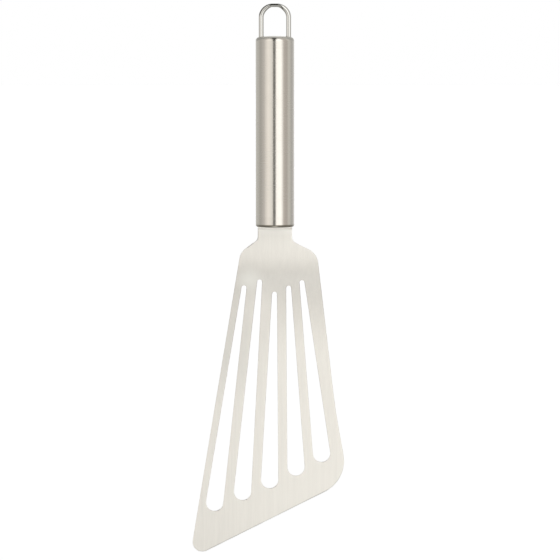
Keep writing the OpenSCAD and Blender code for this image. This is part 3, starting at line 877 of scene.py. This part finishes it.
# Painted highlight: the top of the neck is painted lighter between these heights, to offset the shade
# under the front cap.
NECK_PAINTED_HIGHLIGHT, NECK_HIGHLIGHT_RISE = (0.95, 0.94, 0.91), (-0.1185, -0.1140)
# Painted shade on the cut edges, by how far their normal turns away from the front.
EDGE_PAINTED_SHADE, EDGE_TURN = (0.59, 0.577, 0.552), (0.90, 0.60)
PAINTED_LIGHT_PATCHES = (
    (-0.027, -0.180, 0.030, 0.45, (0.60, 0.60, 0.58)),
    (-0.0128, -0.141, 0.0095, 0.85, (0.97, 0.97, 0.93)),
    (-0.007, -0.153, 0.016, 0.65, (0.97, 0.95, 0.91)),
)


def satin_material():
    """Satin steel. A fine grain and wider streaks run down the blade, and faint clouds make it more or
    less rough. The colour is darker towards the left. Soft patches of painted shade and painted highlight
    lie on the face, the top of the neck is painted lighter as a painted highlight, and the cut edges,
    which face aside, are painted darker as painted shade."""
    material, tree, shader = new_steel("satin_steel")
    place = wire_up(tree, "ShaderNodeTexCoord").outputs["Object"]

    def grain(across, down, detail):
        spot = wire_up(tree, "ShaderNodeMapping", {"Vector": place, "Scale": (across, across, down)})
        noise = wire_up(tree, "ShaderNodeTexNoise", {"Vector": spot.outputs[0], "Scale": 1.0,
                                                     "Detail": detail})
        return noise.outputs["Fac"]

    fine = grain(*FINE_GRAIN)
    wide = grain(*WIDE_GRAIN)
    clouds = grain(*CLOUDS)
    streak = sum_up(tree, "MULTIPLY", wide, 1.0 - FINE_GRAIN_SHARE)
    streak = sum_up(tree, "MULTIPLY_ADD", fine, FINE_GRAIN_SHARE, streak)
    streak = smooth_step(tree, streak, *GRAIN_CONTRAST)
    axes = wire_up(tree, "ShaderNodeSeparateXYZ", {0: place}).outputs
    right_share = smooth_step(tree, axes["X"], *LEFT_DARKENING_WAY)
    tones = [blend_colour(tree, right_share, scaled(SATIN_STEEL, tone * LEFT_DARKENING), scaled(SATIN_STEEL, tone))
             for tone in (DARK_GRAIN, LIGHT_GRAIN)]
    colour = blend_colour(tree, streak, *tones)
    # Soft patches of painted shade and painted highlight.
    for x, z, reach, share, steel in PAINTED_LIGHT_PATCHES:
        across = sum_up(tree, "POWER", sum_up(tree, "SUBTRACT", axes["X"], x), 2.0)
        down = sum_up(tree, "POWER", sum_up(tree, "SUBTRACT", axes["Z"], z), 2.0)
        near = smooth_step(tree, sum_up(tree, "SQRT", sum_up(tree, "ADD", across, down)), reach, 0.0)
        colour = blend_colour(tree, sum_up(tree, "MULTIPLY", near, share), colour, steel)
    # Painted highlight on the top of the neck.
    neck_highlight = smooth_step(tree, axes["Z"], *NECK_HIGHLIGHT_RISE)
    colour = blend_colour(tree, neck_highlight, colour, NECK_PAINTED_HIGHLIGHT)
    # Painted shade on the edges that face aside.
    normal = wire_up(tree, "ShaderNodeNewGeometry").outputs["Normal"]
    facing = wire_up(tree, "ShaderNodeSeparateXYZ", {0: normal}).outputs["Y"]
    edge = smooth_step(tree, sum_up(tree, "ABSOLUTE", facing), *EDGE_TURN)
    colour = blend_colour(tree, edge, colour, EDGE_PAINTED_SHADE)
    uneven = sum_up(tree, "MULTIPLY_ADD", clouds, CLOUD_ROUGHNESS,
                    SATIN_ROUGHNESS - CLOUD_ROUGHNESS / 2.0)
    finish_steel(tree, shader, colour, uneven, fine, GRAIN_STRENGTH, GRAIN_DEPTH)
    return material


fit_piece(blade, "blade", satin_material())


# Tang weld. Where the neck leaves the front cap, a bead of weld metal runs along each face of it and
# closes the gap to the cap. It is brushed over lightly, with its ripples still showing.
NECK_BEAD_R = 0.0008
NECK_BEAD_RIPPLE, NECK_BEAD_SLANT, NECK_RIPPLE_DEPTH = 0.0009, 0.6, 0.12
NECK_BEAD_END, NECK_BEAD_TAPER = 0.0006, 0.96
NECK_BEAD_STEPS, NECK_BEAD_ARC = 260, 9


def front_crown_height(x, y):
    """Height of the outside of the front cap's dome."""
    return FRONT_CROWN + CROWN_DOME_R - np.sqrt(CROWN_DOME_R**2 - x**2 - y**2)


def neck_beads(name):
    """A bead along each face of the neck. Across, it is a quarter circle from the neck to the cap, and
    its radius ripples with the way along and shrinks at the two ends."""
    x = np.linspace(-NECK_X, NECK_X, NECK_BEAD_STEPS)[:, None]
    turn = np.linspace(0.0, math.pi / 2.0, NECK_BEAD_ARC)[None, :]
    ripple = np.abs(np.sin(math.pi * x / NECK_BEAD_RIPPLE + NECK_BEAD_SLANT * np.sin(turn)))
    beyond = np.clip((np.abs(x) - NECK_X + NECK_BEAD_END) / NECK_BEAD_END, 0.0, NECK_BEAD_TAPER)
    radius = NECK_BEAD_R * (1.0 - NECK_RIPPLE_DEPTH + NECK_RIPPLE_DEPTH * ripple)
    radius = radius * np.sqrt(1.0 - beyond**2)
    y = np.hstack([-SHEET / 2.0 - radius * np.sin(turn), np.full((NECK_BEAD_STEPS, 1), -SHEET / 2.0)])
    seat = front_crown_height(x, y)
    down = np.hstack([radius * np.cos(turn), np.zeros((NECK_BEAD_STEPS, 1))])
    z = np.minimum(seat, FRONT_CROWN - down + (seat - FRONT_CROWN) * (1.0 - down / NECK_BEAD_R))
    points = np.stack(np.broadcast_arrays(x, y, z), axis=-1).reshape(-1, 3)
    columns = NECK_BEAD_ARC + 1
    faces = grid_faces(NECK_BEAD_STEPS, columns, False, True).reshape(-1, 4)[:, ::-1]
    first = np.arange(columns)
    ends = np.stack([first, first[::-1] + (NECK_BEAD_STEPS - 1) * columns])
    points, faces, ends = with_mirror_image(points, faces, ends, 1)
    return surface(name, points, faces, ends=ends)


fit_piece(neck_beads("tang_weld_rippled"), "tang_weld", weld_steel)
